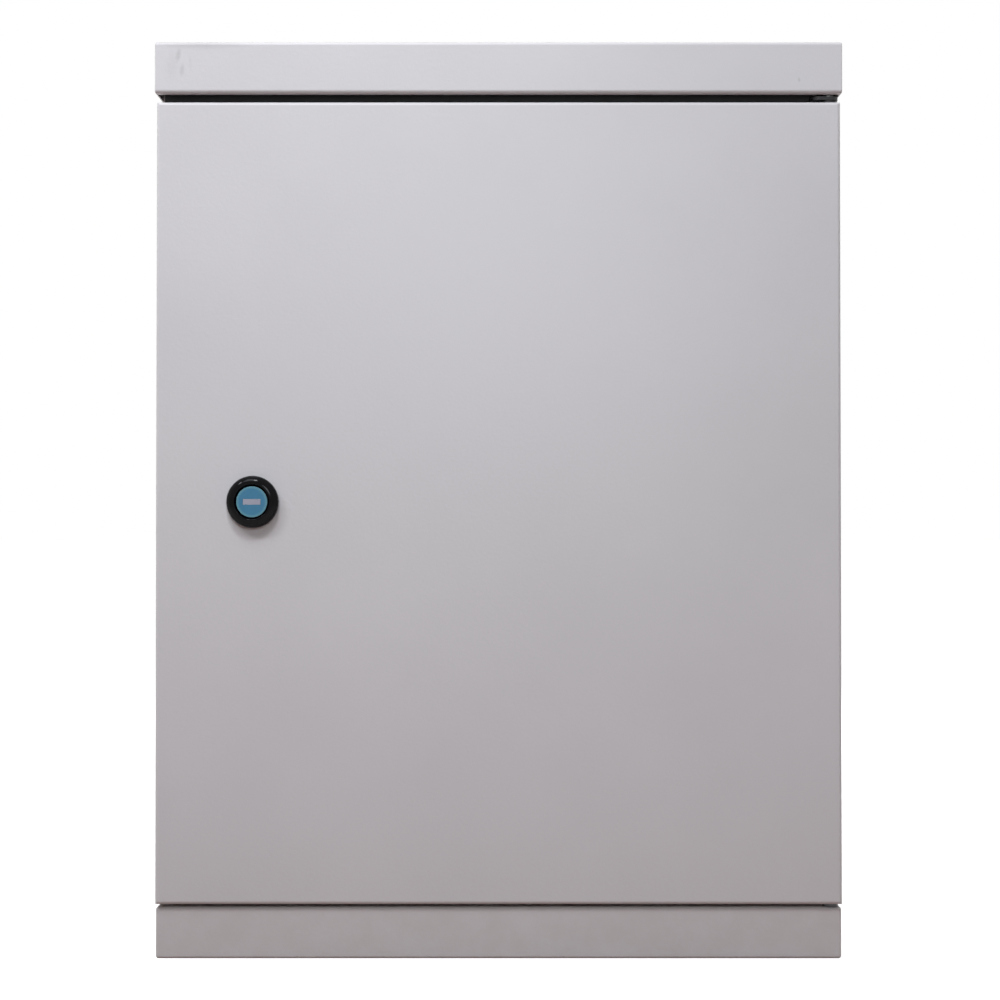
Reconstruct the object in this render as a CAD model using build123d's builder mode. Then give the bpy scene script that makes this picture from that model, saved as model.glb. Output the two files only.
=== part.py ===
"""Roadside utility cabinet: a folded sheet-steel box on a low plinth, with a hung door and a cam lock.

Millimetres. +X is the hinge side seen from the front, +Y runs to the back and +Z is up.
The origin is on the ground, at the centre of the four anchor holes.
"""

import os

from build123d import *

# Whole cabinet
cabinet_width = 600.0
cabinet_depth = 300.0
cabinet_height = 800.0
sheet = 1.5
bend = 3.0  # outside radius of a fold
moving_gap = 0.3  # between faces that pass each other
hole_play = 0.25  # a hole's radius over the radius of what goes through it
overrun = 5.0  # how far a cut runs past the piece it cuts

# Plinth
plinth_height = 45.0
plinth_sheet = 2.0
plinth_flange = 50.0
plinth_setback = 5.0  # behind the door's face
plinth_bend = 2.5  # outside radius of its folds
plinth_bolt_inset = 22.0  # from the body's sides
plinth_bolt_pitch = 140.0  # front to back
plinth_bolt_radius = 4.0
plinth_bolt_across = 13.0
plinth_bolt_head = 5.3
plinth_nut_height = 6.5
plinth_bolt_tail = 3.0  # thread left past the nut
anchor_inset = 30.0  # from the plinth's sides and front
anchor_radius = 6.5

# Roof
roof_skirt = 45.0  # height at the front
roof_fall = 12.0  # drop from front to back
roof_play = 0.5  # between the skirts and the body
roof_return = 8.0  # inward fold under the front skirt
roof_edge = 1.0  # ground weld along the ends
rail_pitch = 380.0
rail_width = 28.0
rail_clear = 14.0  # from the rail's ends to the roof's skirts
roof_bolt_pitch = 170.0
roof_bolt_radius = 4.0
roof_bolt_across = 13.0
roof_bolt_head = 5.3
roof_bolt_tail = 2.0
roof_nut_height = 6.5
roof_seal_radius = 9.0
roof_seal_height = 1.6

# Body and its door frame
body_crown = 30.0  # from the body's top up to the roof's front edge
frame_inset = 29.0  # from the door's edge in to the lip
lip_depth = 14.0
strip_rise = 3.5  # from the door's top up to the head strip
strip_height = 12.0
strip_depth = 5.0
strip_round = 2.0
strip_clear = 0.5  # from its end to the hinge bracket
gland_margin = 8.0  # inside the plinth's opening
gland_rim = 20.0
gland_sheet = 2.0
gland_gasket_height = 3.0
gland_screw_radius = 3.0
gland_screw_across = 10.0
gland_screw_head = 4.0
gland_screw_tail = 4.0
gland_screws_along = 4
mounting_clear = 20.0  # inside the door opening, all round
mounting_sheet = 2.5
mounting_bend = 4.0
mounting_fold = 14.0
mounting_space = 25.0  # from the back wall to the plate
mounting_stud_inset = 28.0
mounting_stud_radius = 4.0
mounting_collar_radius = 7.0
mounting_nut_across = 13.0
mounting_nut_height = 6.5
mounting_washer_radius = 8.0
mounting_washer_height = 1.6
mounting_stud_tail = 3.0
earth_inset_x = 46.0  # from the body's left side
earth_inset_y = 26.0  # from the body's back
earth_radius = 4.0
earth_length = 26.0
earth_across = 13.0
earth_nut_height = 6.5
earth_washer_radius = 8.0
earth_washer_height = 1.6

# Door
sill_gap = 3.0  # between plinth and door
head_gap = 7.0  # between door and roof
door_setback = 4.0  # behind the roof's face
door_depth = 22.0
door_overlap = 1.0  # past the body at each side
door_fold = 12.0  # inward fold at the back of the door's rim
gasket_width = 14.0
gasket_round = 3.0
stiffener_crown = 40.0
stiffener_depth = 15.0
stiffener_foot = 15.0
stiffener_clear = 16.0  # from its ends to the gasket
stiffener_lock_clear = 50.0  # from its foot to the lock's nut
stiffener_hole_radius = 4.0
stiffener_hole_pitch = 50.0
door_earth_clear = 34.0  # from the gasket's inner corner, both ways
door_earth_radius = 3.0
door_earth_length = 16.0
door_earth_across = 10.0
door_earth_nut_height = 5.0
door_earth_washer_radius = 6.0
door_earth_washer_height = 1.6

# Hinge
hinge_edge = 9.0  # from the door's side to the axis
swing_clear = 1.0  # between the door's back corner and the frame as it swings
pin_radius = 3.0
pin_play = 0.06
pin_reach = 9.0  # into the door
pin_chamfer = 0.8
pin_head_radius = 4.6
pin_head_height = 2.5
lower_pin_weld = 1.0  # left under the plinth's flange
bush_radius = 5.0
bush_flange_radius = 6.8
bush_reach = 6.0  # from the rim's inside into the door
upper_bush_flange = 2.2
bracket_sheet = 3.0
bracket_bend = 4.5
bracket_reach = 8.0  # past the axis to the front
bracket_arm = 15.0  # past the axis towards the door's middle
bracket_round = 6.0
bracket_rise = 18.0
bracket_screw_pitch = 9.5
bracket_screw_radius = 2.0
bracket_screw_head_radius = 3.5
bracket_screw_head = 2.4
bracket_screw_length = 10.0

# Lock
lock_edge = 85.0  # from the door's left edge
lock_height_share = 0.5  # of the door's height
bezel_radius = 22.75
bezel_height = 11.0
bezel_rim = 3.5
recess_slant = 1.7  # how much wider the recess is at its mouth
bezel_swell = 2.0  # rise of the dome over the straight line from rim to crest
crest_round = 0.6
recess_radius = 13.7
recess_depth = 4.0
face_sink = 1.3  # face disc below the crest
face_height = 1.2
keyway_length = 15.0
keyway_width = 4.4
keyway_slot_length = 9.0
keyway_slot_width = 1.3
keyway_depth = 14.0  # into the core
barrel_radius = 11.0
barrel_wall = 3.0
barrel_flat_depth = 1.0
core_play = 0.08
lock_seal_inset = 1.25  # inside the housing's edge
lock_seal_height = 1.2
lock_nut_wall = 2.25
lock_nut_height = 5.0
cam_play = 1.5  # behind the frame
cam_sheet = 3.0
cam_lap = 13.0  # behind the frame when latched
cam_width = 18.0
cam_hub_radius = 12.0
cam_square_wall = 0.9  # round the tapped hole
cam_bolt_radius = 3.0
cam_bolt_across = 10.0
cam_bolt_head = 4.0
cam_bolt_reach = 8.5  # into the core
cam_tap_depth = 10.0
cam_washer_radius = 9.0
cam_washer_height = 1.6

# Heights
roof_bottom = cabinet_height - roof_skirt
door_bottom = plinth_height + sill_gap
door_top = roof_bottom - head_gap
door_height = door_top - door_bottom
door_middle = (door_bottom + door_top) / 2
body_top = cabinet_height - body_crown
lip_low = door_bottom + frame_inset
lip_high = door_top - frame_inset

# Depths
roof_front = -cabinet_depth / 2
roof_rear = cabinet_depth / 2
door_front = roof_front + door_setback
door_inside = door_front + sheet
corner_swing = ((hinge_edge - bend) ** 2 + (door_depth / 2 - bend) ** 2) ** 0.5 + bend
frame_front = door_front + door_depth / 2 + corner_swing + swing_clear
frame_back = frame_front + sheet
lip_front = frame_front - lip_depth
body_rear = roof_rear - sheet - roof_play
body_inner_rear = body_rear - sheet
plinth_front = door_front + plinth_setback
plinth_depth = body_rear - plinth_front
plinth_middle = (plinth_front + body_rear) / 2

# Half widths
roof_side = cabinet_width / 2
roof_inner_side = roof_side - sheet
body_side = roof_inner_side - roof_play
body_inner_side = body_side - sheet
door_side = body_side + door_overlap
lip_side = door_side - frame_inset
seam_side = lip_side + bend

os.makedirs("parts", exist_ok=True)


def keep(piece, name):
    """Label a finished piece and write it to its own file."""
    piece.part.label = name
    export_step(piece.part, "parts/" + name + ".step")


def discs(plane, places, radius):
    """Sketch of a round at each place on the plane."""
    with BuildSketch(plane) as outline:
        with Locations(*places):
            Circle(radius)
    return outline.sketch


def hexagons(plane, places, across):
    """Sketch of a hexagon at each place on the plane, from its width across flats."""
    with BuildSketch(plane) as outline:
        with Locations(*places):
            RegularPolygon(across / 2, 6, major_radius=False)
    return outline.sketch


def corners(pitch_x, pitch_y):
    """Four places at the corners of a rectangle about the origin."""
    return list(GridLocations(pitch_x, pitch_y, 2, 2))


def folded(plane, points, radii, thickness, side):
    """Section of a folded sheet: a path along one of its surfaces, thickened to one side."""
    with BuildSketch(plane) as outline:
        with BuildLine():
            FilletPolyline(*points, radius=radii)
            offset(amount=thickness, side=side)
        make_face()
    return outline.sketch


# Plinth frame: one closed channel, open in the middle above and below
plinth_bolt_places = corners(2 * (body_side - plinth_bolt_inset), plinth_bolt_pitch)
plinth_hole_radius = plinth_bolt_radius + hole_play
anchor_places = corners(2 * (door_side - anchor_inset), -2 * (plinth_front + anchor_inset))
hinge_place = (door_side - hinge_edge, door_front + door_depth / 2)
plinth_top = Plane.XY.offset(plinth_height)
with BuildPart() as plinth_frame:
    with BuildSketch(Plane.XY):
        with Locations((0, plinth_middle)):
            RectangleRounded(2 * door_side, plinth_depth, plinth_bend)
    extrude(amount=plinth_height)
    fillet(plinth_frame.faces().filter_by(Axis.Z).edges(), plinth_bend)
    offset(amount=-plinth_sheet, mode=Mode.SUBTRACT)
    with BuildSketch(Plane.XY):
        with Locations((0, plinth_middle)):
            Rectangle(2 * (door_side - plinth_flange), plinth_depth - 2 * plinth_flange)
    extrude(amount=plinth_height, mode=Mode.SUBTRACT)
    extrude(discs(Plane.XY, anchor_places, anchor_radius), amount=plinth_sheet, mode=Mode.SUBTRACT)
    bolt_holes = discs(plinth_top, plinth_bolt_places, plinth_hole_radius)
    extrude(bolt_holes, amount=-plinth_sheet, mode=Mode.SUBTRACT)
    pin_hole = discs(plinth_top, [hinge_place], pin_radius)
    extrude(pin_hole, amount=-plinth_sheet, mode=Mode.SUBTRACT)
keep(plinth_frame, "plinth_frame")

# Upper hinge bracket's place on the frame, above the door
bracket_low = door_top + upper_bush_flange + moving_gap
bracket_left = hinge_place[0] - bracket_arm
bracket_screw_x = (bracket_left + body_side - bend) / 2
bracket_screw_level = bracket_low + (bracket_rise + bracket_bend) / 2
bracket_screw_places = [
    (bracket_screw_x - bracket_screw_pitch / 2, bracket_screw_level),
    (bracket_screw_x + bracket_screw_pitch / 2, bracket_screw_level),
]
bracket_hole_radius = bracket_screw_radius + hole_play
frame_face = Plane(origin=(0, frame_front, 0), x_dir=(1, 0, 0), z_dir=(0, -1, 0))
bracket_face = frame_face.offset(bracket_sheet)

# Body wrap: both sides and the back from one sheet, folded in at the front to a flange and a lip
wrap_path = [
    (-lip_side, lip_front),
    (-lip_side, frame_front),
    (-body_side, frame_front),
    (-body_side, body_rear),
    (body_side, body_rear),
    (body_side, frame_front),
    (lip_side, frame_front),
    (lip_side, lip_front),
]
wrap_radii = [bend - sheet, bend, bend, bend, bend, bend - sheet]
seam_places = [(-lip_side, frame_front), (lip_side, frame_front)]
with BuildPart() as body_wrap:
    extrude(folded(plinth_top, wrap_path, wrap_radii, sheet, Side.RIGHT), amount=body_top - plinth_height)
    # Above and below the door opening the lips end, and the flanges end at the seams with the trays
    with BuildSketch(Plane.XY.offset(body_top)):
        with Locations(*seam_places):
            Rectangle(2 * bend, 2 * (lip_depth + overrun))
    extrude(amount=-(body_top - lip_high + sheet), mode=Mode.SUBTRACT)
    with BuildSketch(plinth_top):
        with Locations(*seam_places):
            Rectangle(2 * bend, 2 * (lip_depth + overrun))
    extrude(amount=lip_low + sheet - plinth_height, mode=Mode.SUBTRACT)
    screw_holes = discs(frame_face, bracket_screw_places, bracket_hole_radius)
    extrude(screw_holes, amount=-sheet, mode=Mode.SUBTRACT)
keep(body_wrap, "body_wrap")


def tray(level, lip_level, side, inward):
    """Head or floor tray: lip, front flange and panel in one fold, with a wing at each end."""
    tray_path = [
        (lip_front, lip_level),
        (frame_front, lip_level),
        (frame_front, level),
        (body_inner_rear, level),
    ]
    wing_x = (body_inner_side + seam_side) / 2
    wing_y = (body_inner_rear + frame_back) / 2
    section = folded(Plane.YZ, tray_path, [bend - sheet, bend], sheet, side)
    with BuildPart() as blank:
        extrude(section, amount=seam_side, both=True)
        with BuildSketch(Plane.XY.offset(level)) as wings:
            with Locations((-wing_x, wing_y), (wing_x, wing_y)):
                Rectangle(body_inner_side - seam_side, body_inner_rear - frame_back)
            ends = wings.vertices().group_by(Axis.X)
            fillet(ends[0] + ends[-1], bend - sheet)
        extrude(amount=inward)
        # The lip ends flush with the outside of the side lips
        with BuildSketch(Plane.XY.offset(lip_level)):
            with Locations((-seam_side, lip_front), (seam_side, lip_front)):
                Rectangle(2 * (seam_side - lip_side), 2 * (lip_depth - sheet))
        extrude(amount=bend, both=True, mode=Mode.SUBTRACT)
    return blank.part


# Body head: top tray under the roof
roof_bolt_places = corners(rail_pitch, roof_bolt_pitch)
roof_hole_radius = roof_bolt_radius + hole_play
body_lid = Plane.XY.offset(body_top)
head_blank = tray(body_top, lip_high, Side.RIGHT, -sheet)
with BuildPart() as body_head:
    add(head_blank)
    extrude(discs(body_lid, roof_bolt_places, roof_hole_radius), amount=-sheet, mode=Mode.SUBTRACT)
keep(body_head, "body_head")

# Head strip: rubber section along the frame above the door, against rain driven in under the roof
strip_left = bend - body_side
strip_right = bracket_left - strip_clear
strip_level = door_top + strip_rise + strip_height / 2
with BuildPart() as head_strip:
    with BuildSketch(frame_face):
        with Locations(((strip_left + strip_right) / 2, strip_level)):
            Rectangle(strip_right - strip_left, strip_height)
    extrude(amount=strip_depth)
    fillet(head_strip.faces().sort_by(Axis.Y)[0].edges().filter_by(Axis.X), strip_round)
keep(head_strip, "head_strip")

# Body floor: bottom tray with the gland opening
gland_length = 2 * (door_side - plinth_flange - gland_margin)
gland_depth = -2 * (plinth_front + plinth_flange + gland_margin)
gland_inner_length = gland_length - 2 * gland_rim
gland_inner_depth = gland_depth - 2 * gland_rim
gland_pitch = (gland_length - gland_rim) / (gland_screws_along - 1)
gland_screw_places = list(GridLocations(gland_pitch, gland_depth - gland_rim, gland_screws_along, 2))
gland_hole_radius = gland_screw_radius + hole_play
floor_top = plinth_top.offset(sheet)
floor_blank = tray(plinth_height, lip_low, Side.LEFT, sheet)
with BuildPart() as body_floor:
    add(floor_blank)
    with BuildSketch(floor_top):
        RectangleRounded(gland_inner_length, gland_inner_depth, gland_rim / 2)
    extrude(amount=-sheet, mode=Mode.SUBTRACT)
    extrude(discs(floor_top, gland_screw_places, gland_hole_radius), amount=-sheet, mode=Mode.SUBTRACT)
    extrude(discs(floor_top, plinth_bolt_places, plinth_hole_radius), amount=-sheet, mode=Mode.SUBTRACT)
keep(body_floor, "body_floor")

# Bolts that hold the body on the plinth, with their nuts inside the plinth's channel
plinth_grip = sheet + plinth_sheet + plinth_nut_height + plinth_bolt_tail
with BuildPart() as plinth_bolts:
    extrude(hexagons(floor_top, plinth_bolt_places, plinth_bolt_across), amount=plinth_bolt_head)
    extrude(discs(floor_top, plinth_bolt_places, plinth_bolt_radius), amount=-plinth_grip)
keep(plinth_bolts, "plinth_bolts")

under_flange = Plane.XY.offset(plinth_height - plinth_sheet)
with BuildPart() as plinth_nuts:
    extrude(hexagons(under_flange, plinth_bolt_places, plinth_bolt_across), amount=-plinth_nut_height)
    bores = discs(under_flange, plinth_bolt_places, plinth_hole_radius)
    extrude(bores, amount=-plinth_nut_height, mode=Mode.SUBTRACT)
keep(plinth_nuts, "plinth_nuts")

# Gland plate: a blank plate over the floor's opening, on a flat gasket
gland_seat = floor_top.offset(gland_gasket_height)
gland_top = gland_seat.offset(gland_sheet)
with BuildPart() as gland_gasket:
    with BuildSketch(floor_top):
        Rectangle(gland_length, gland_depth)
        RectangleRounded(gland_inner_length, gland_inner_depth, gland_rim / 2, mode=Mode.SUBTRACT)
    extrude(amount=gland_gasket_height)
    screw_holes = discs(floor_top, gland_screw_places, gland_hole_radius)
    extrude(screw_holes, amount=gland_gasket_height, mode=Mode.SUBTRACT)
keep(gland_gasket, "gland_gasket")

with BuildPart() as gland_plate:
    with BuildSketch(gland_seat):
        RectangleRounded(gland_length, gland_depth, bend)
    extrude(amount=gland_sheet)
    screw_holes = discs(gland_seat, gland_screw_places, gland_hole_radius)
    extrude(screw_holes, amount=gland_sheet, mode=Mode.SUBTRACT)
keep(gland_plate, "gland_plate")

gland_grip = gland_sheet + gland_gasket_height + sheet + gland_screw_tail
with BuildPart() as gland_screws:
    extrude(hexagons(gland_top, gland_screw_places, gland_screw_across), amount=gland_screw_head)
    extrude(discs(gland_top, gland_screw_places, gland_screw_radius), amount=-gland_grip)
keep(gland_screws, "gland_screws")

# Mounting plate: folded back along both sides, on four collared studs welded to the back wall
mounting_front = body_inner_rear - mounting_space - mounting_sheet
mounting_side = lip_side - mounting_clear
mounting_height = lip_high - lip_low - 2 * mounting_clear
stud_places = corners(
    2 * (mounting_side - mounting_stud_inset), mounting_height - 2 * mounting_stud_inset
)
stud_hole_radius = mounting_stud_radius + hole_play
back_wall = Plane(origin=(0, body_inner_rear, door_middle), x_dir=(1, 0, 0), z_dir=(0, -1, 0))
plate_seat = back_wall.offset(mounting_space)
plate_face = plate_seat.offset(mounting_sheet)
nut_face = plate_face.offset(mounting_washer_height)
stud_length = mounting_sheet + mounting_washer_height + mounting_nut_height + mounting_stud_tail
with BuildPart() as mounting_studs:
    extrude(discs(back_wall, stud_places, mounting_collar_radius), amount=mounting_space)
    extrude(discs(plate_seat, stud_places, mounting_stud_radius), amount=stud_length)
keep(mounting_studs, "mounting_studs")

mounting_path = [
    (-mounting_side, mounting_front + mounting_fold),
    (-mounting_side, mounting_front),
    (mounting_side, mounting_front),
    (mounting_side, mounting_front + mounting_fold),
]
mounting_foot = Plane.XY.offset(door_middle - mounting_height / 2)
with BuildPart() as mounting_plate:
    section = folded(mounting_foot, mounting_path, mounting_bend, mounting_sheet, Side.LEFT)
    extrude(section, amount=mounting_height)
    stud_holes = discs(plate_seat, stud_places, stud_hole_radius)
    extrude(stud_holes, amount=mounting_sheet, mode=Mode.SUBTRACT)
keep(mounting_plate, "mounting_plate")

with BuildPart() as mounting_washers:
    extrude(discs(plate_face, stud_places, mounting_washer_radius), amount=mounting_washer_height)
    bores = discs(plate_face, stud_places, stud_hole_radius)
    extrude(bores, amount=mounting_washer_height, mode=Mode.SUBTRACT)
keep(mounting_washers, "mounting_washers")

with BuildPart() as mounting_nuts:
    extrude(hexagons(nut_face, stud_places, mounting_nut_across), amount=mounting_nut_height)
    bores = discs(nut_face, stud_places, stud_hole_radius)
    extrude(bores, amount=mounting_nut_height, mode=Mode.SUBTRACT)
keep(mounting_nuts, "mounting_nuts")

# Earth stud on the floor, with two washers and two nuts to clamp conductors between
earth_place = [(earth_inset_x - body_side, body_rear - earth_inset_y)]
earth_hole_radius = earth_radius + hole_play
earth_levels = [floor_top, floor_top.offset(earth_washer_height + earth_nut_height)]
with BuildPart() as body_earth_stud:
    extrude(discs(floor_top, earth_place, earth_radius), amount=earth_length)
keep(body_earth_stud, "body_earth_stud")

with BuildPart() as body_earth_washers:
    for level in earth_levels:
        extrude(discs(level, earth_place, earth_washer_radius), amount=earth_washer_height)
    bore = discs(floor_top, earth_place, earth_hole_radius)
    extrude(bore, amount=earth_length, mode=Mode.SUBTRACT)
keep(body_earth_washers, "body_earth_washers")

with BuildPart() as body_earth_nuts:
    for level in earth_levels:
        nut_level = level.offset(earth_washer_height)
        extrude(hexagons(nut_level, earth_place, earth_across), amount=earth_nut_height)
    bore = discs(floor_top, earth_place, earth_hole_radius)
    extrude(bore, amount=earth_length, mode=Mode.SUBTRACT)
keep(body_earth_nuts, "body_earth_nuts")

# Roof rails: two tapered channels between the body's head and the underside of the roof
roof_slope = roof_fall / cabinet_depth
sheet_drop = sheet * (1 + roof_slope**2) ** 0.5


def below_roof(depth, sheets):
    """Height at a place front to back, a number of sheets below the top of the roof."""
    return cabinet_height - sheets * sheet_drop - roof_slope * (depth - roof_front)


rail_front = roof_front + sheet + rail_clear
rail_rear = roof_rear - sheet - rail_clear
rail_open_front = rail_front - overrun
rail_open_rear = rail_rear + overrun
rail_x = rail_pitch / 2
rail_web_x = rail_x - rail_width / 2
rail_holes = [(rail_x, -roof_bolt_pitch / 2), (rail_x, roof_bolt_pitch / 2)]
with BuildPart() as roof_rail_right:
    with BuildSketch(Plane.YZ.offset(rail_web_x)):
        with BuildLine():
            Polyline(
                (rail_front, body_top),
                (rail_rear, body_top),
                (rail_rear, below_roof(rail_rear, 1)),
                (rail_front, below_roof(rail_front, 1)),
                close=True,
            )
        make_face()
    extrude(amount=rail_width)
    with BuildSketch(Plane.YZ.offset(rail_web_x + sheet)):
        with BuildLine():
            Polyline(
                (rail_open_front, body_top + sheet),
                (rail_open_rear, body_top + sheet),
                (rail_open_rear, below_roof(rail_open_rear, 2)),
                (rail_open_front, below_roof(rail_open_front, 2)),
                close=True,
            )
        make_face()
    extrude(amount=rail_width, mode=Mode.SUBTRACT)
    extrude(discs(body_lid, rail_holes, roof_hole_radius), amount=sheet, mode=Mode.SUBTRACT)
keep(roof_rail_right, "roof_rail_right")

with BuildPart() as roof_rail_left:
    mirror(roof_rail_right.part, about=Plane.YZ)
keep(roof_rail_left, "roof_rail_left")

# Roof bolts from inside the body, each on a sealing washer, into nuts welded to the rails
head_inside = body_lid.offset(-sheet)
roof_bearing = head_inside.offset(-roof_seal_height)
rail_foot = body_lid.offset(sheet)
roof_grip = roof_seal_height + 2 * sheet + roof_nut_height + roof_bolt_tail
with BuildPart() as roof_seals:
    extrude(discs(head_inside, roof_bolt_places, roof_seal_radius), amount=-roof_seal_height)
    bores = discs(head_inside, roof_bolt_places, roof_hole_radius)
    extrude(bores, amount=-roof_seal_height, mode=Mode.SUBTRACT)
keep(roof_seals, "roof_seals")

with BuildPart() as roof_bolts:
    extrude(hexagons(roof_bearing, roof_bolt_places, roof_bolt_across), amount=-roof_bolt_head)
    extrude(discs(roof_bearing, roof_bolt_places, roof_bolt_radius), amount=roof_grip)
keep(roof_bolts, "roof_bolts")

with BuildPart() as roof_nuts:
    extrude(hexagons(rail_foot, roof_bolt_places, roof_bolt_across), amount=roof_nut_height)
    bores = discs(rail_foot, roof_bolt_places, roof_hole_radius)
    extrude(bores, amount=roof_nut_height, mode=Mode.SUBTRACT)
keep(roof_nuts, "roof_nuts")

# Roof: front return, front skirt, top and rear skirt in one fold, closed by a welded end at each side
roof_path = [
    (roof_front + roof_return, roof_bottom),
    (roof_front, roof_bottom),
    (roof_front, cabinet_height),
    (roof_rear, cabinet_height - roof_fall),
    (roof_rear, roof_bottom),
]
with BuildPart() as roof_canopy:
    extrude(folded(Plane.YZ, roof_path, bend, sheet, Side.RIGHT), amount=roof_inner_side, both=True)
    with BuildSketch(Plane.YZ.offset(roof_inner_side)):
        with BuildLine():
            FilletPolyline(*roof_path[1:], radius=[bend, bend, bend, 0], close=True)
        make_face()
    extrude(amount=sheet)
    mirror(about=Plane.YZ)
    end_faces = roof_canopy.faces().filter_by(Axis.X).sort_by(Axis.X)
    end_edges = end_faces[0].edges() + end_faces[-1].edges()
    fillet(end_edges.filter_by(lambda edge: edge.center().Z > roof_bottom + bend), roof_edge)
keep(roof_canopy, "roof_canopy")

# Upper hinge bracket: an angle screwed to the frame's head flange, with a rounded ear for the pin
bracket_top = Plane.XY.offset(bracket_low + bracket_sheet)
bracket_path = [
    (hinge_place[1] - bracket_reach, bracket_low),
    (frame_front, bracket_low),
    (frame_front, bracket_low + bracket_rise),
]
bracket_end = Plane.YZ.offset(bracket_left)
with BuildPart() as hinge_bracket:
    section = folded(bracket_end, bracket_path, bracket_bend, bracket_sheet, Side.LEFT)
    extrude(section, amount=body_side - bracket_left)
    ear = hinge_bracket.edges().filter_by(Axis.Z).group_by(Axis.Y)[0]
    fillet(ear, bracket_round)
    pin_hole = discs(bracket_top, [hinge_place], pin_radius + hole_play)
    extrude(pin_hole, amount=-bracket_sheet, mode=Mode.SUBTRACT)
    screw_holes = discs(bracket_face, bracket_screw_places, bracket_hole_radius)
    extrude(screw_holes, amount=-bracket_sheet, mode=Mode.SUBTRACT)
keep(hinge_bracket, "hinge_bracket")

with BuildPart() as bracket_screws:
    extrude(discs(bracket_face, bracket_screw_places, bracket_screw_head_radius), amount=bracket_screw_head)
    extrude(discs(bracket_face, bracket_screw_places, bracket_screw_radius), amount=-bracket_screw_length)
keep(bracket_screws, "bracket_screws")

# Hinge pins: the upper one drops through the bracket, the lower one is welded into the plinth
upper_pin_end = door_top - sheet - pin_reach
with BuildPart() as upper_hinge_pin:
    extrude(discs(bracket_top, [hinge_place], pin_head_radius), amount=pin_head_height)
    upper_pin_length = bracket_low + bracket_sheet - upper_pin_end
    extrude(discs(bracket_top, [hinge_place], pin_radius), amount=-upper_pin_length)
    chamfer(upper_hinge_pin.faces().sort_by(Axis.Z)[0].edges(), pin_chamfer)
keep(upper_hinge_pin, "upper_hinge_pin")

lower_pin_rise = sill_gap + sheet + pin_reach
with BuildPart() as lower_hinge_pin:
    extrude(discs(plinth_top, [hinge_place], pin_radius), amount=-(plinth_sheet + lower_pin_weld))
    extrude(discs(plinth_top, [hinge_place], pin_radius), amount=lower_pin_rise)
    chamfer(lower_hinge_pin.faces().sort_by(Axis.Z)[-1].edges(), pin_chamfer)
keep(lower_hinge_pin, "lower_hinge_pin")

# Door: a tray folded back all round and in again at its rim, with square welded corners
lock_x = lock_edge - door_side
lock_z = door_bottom + lock_height_share * door_height
barrel_flat = barrel_radius - barrel_flat_depth
lock_nut_across = 2 * (barrel_radius + hole_play + lock_nut_wall)
door_face = Plane(origin=(0, door_front, door_middle), x_dir=(1, 0, 0), z_dir=(0, -1, 0))
lock_plane = Plane(origin=(lock_x, door_front, lock_z), x_dir=(1, 0, 0), z_dir=(0, -1, 0))
door_roof = Plane.XY.offset(door_top)
door_foot = Plane.XY.offset(door_bottom)
with BuildPart() as door_panel:
    with BuildSketch(door_face):
        Rectangle(2 * door_side, door_height)
    extrude(amount=-door_depth)
    fillet(door_panel.edges().filter_by(Axis.Y, reverse=True), bend)
    offset(amount=-sheet, mode=Mode.SUBTRACT)
    with BuildSketch(door_face.offset(-door_depth)):
        RectangleRounded(2 * (door_side - door_fold), door_height - 2 * door_fold, bend)
    extrude(amount=sheet, mode=Mode.SUBTRACT)
    with BuildSketch(lock_plane):
        Circle(barrel_radius + hole_play)
        Rectangle(2 * (barrel_flat + hole_play), 2 * (barrel_radius + hole_play), mode=Mode.INTERSECT)
    extrude(amount=-sheet, mode=Mode.SUBTRACT)
    extrude(discs(door_roof, [hinge_place], bush_radius), amount=-sheet, mode=Mode.SUBTRACT)
    extrude(discs(door_foot, [hinge_place], bush_radius), amount=sheet, mode=Mode.SUBTRACT)
keep(door_panel, "door_panel")

# Hinge bushes: flange outside the door's rim, sleeve inside; the lower flange carries the door
with BuildPart() as upper_hinge_bush:
    extrude(discs(door_roof, [hinge_place], bush_flange_radius), amount=upper_bush_flange)
    extrude(discs(door_roof, [hinge_place], bush_radius), amount=-(sheet + bush_reach))
    bore = discs(door_roof, [hinge_place], pin_radius + pin_play)
    extrude(bore, amount=upper_bush_flange, mode=Mode.SUBTRACT)
    extrude(bore, amount=-(sheet + bush_reach), mode=Mode.SUBTRACT)
keep(upper_hinge_bush, "upper_hinge_bush")

lower_bush_flange = sill_gap - moving_gap
with BuildPart() as lower_hinge_bush:
    extrude(discs(door_foot, [hinge_place], bush_flange_radius), amount=-lower_bush_flange)
    extrude(discs(door_foot, [hinge_place], bush_radius), amount=sheet + bush_reach)
    bore = discs(door_foot, [hinge_place], pin_radius + pin_play)
    extrude(bore, amount=-lower_bush_flange, mode=Mode.SUBTRACT)
    extrude(bore, amount=sheet + bush_reach, mode=Mode.SUBTRACT)
keep(lower_hinge_bush, "lower_hinge_bush")

# Door gasket: a foamed loop on the door's inside, over the lip of the frame
gasket_side = lip_side - sheet / 2 + gasket_width / 2
gasket_half_height = (lip_high - lip_low - sheet + gasket_width) / 2
gasket_height = lip_front - door_inside - moving_gap
door_back = Plane(origin=(0, door_inside, door_middle), x_dir=(-1, 0, 0), z_dir=(0, 1, 0))
with BuildPart() as door_gasket:
    with BuildSketch(door_back):
        RectangleRounded(2 * gasket_side, 2 * gasket_half_height, gasket_width)
        Rectangle(
            2 * (gasket_side - gasket_width), 2 * (gasket_half_height - gasket_width), mode=Mode.SUBTRACT
        )
    extrude(amount=gasket_height)
    fillet(door_gasket.faces().sort_by(Axis.Y)[-1].edges(), gasket_round)
keep(door_gasket, "door_gasket")

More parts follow.
